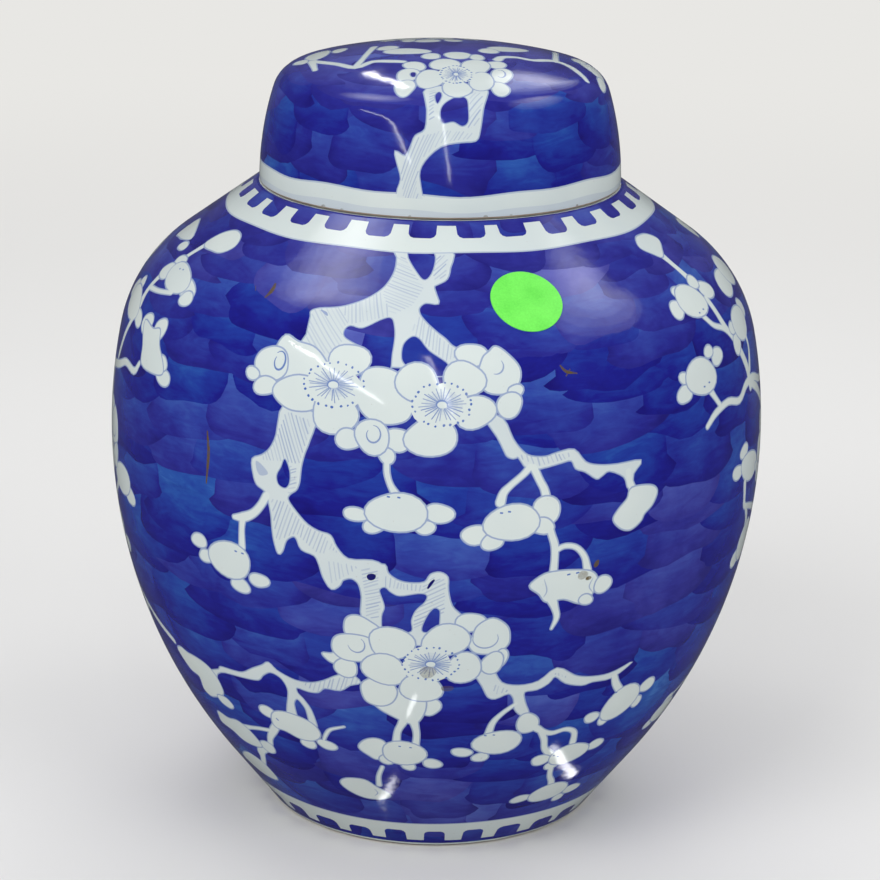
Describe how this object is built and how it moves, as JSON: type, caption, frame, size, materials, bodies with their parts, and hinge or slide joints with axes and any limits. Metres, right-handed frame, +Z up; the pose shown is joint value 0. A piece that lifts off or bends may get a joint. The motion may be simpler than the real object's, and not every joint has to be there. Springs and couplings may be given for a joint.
{
  "type": "ginger jar",
  "caption": "Ovoid lidded ginger jar in glazed porcelain, with a short neck under a slip-over cap lid and blue prunus painting in white reserve.",
  "frame": {"origin": "on the jar's axis in the plane that the foot ring stands on", "axes": "+Z up along the axis, -Y towards the side with the large blossoms and the label, +X to its right"},
  "size_m": [0.245, 0.245, 0.2905],
  "materials": {
    "painted_porcelain": "gloss",
    "white_porcelain": "gloss",
    "label_paper": "matte"
  },
  "bodies": {
    "jar": {"lower_body": "painted_porcelain", "upper_body": "painted_porcelain", "neck": "white_porcelain", "sticker": "label_paper"},
    "lid": {"lid": "painted_porcelain"}
  },
  "joints": [
    {"name": "lid_lift", "type": "slide", "parent": "jar", "child": "lid", "axis": [0, 0, 1], "range_m": [0, 0.1]}
  ]
}
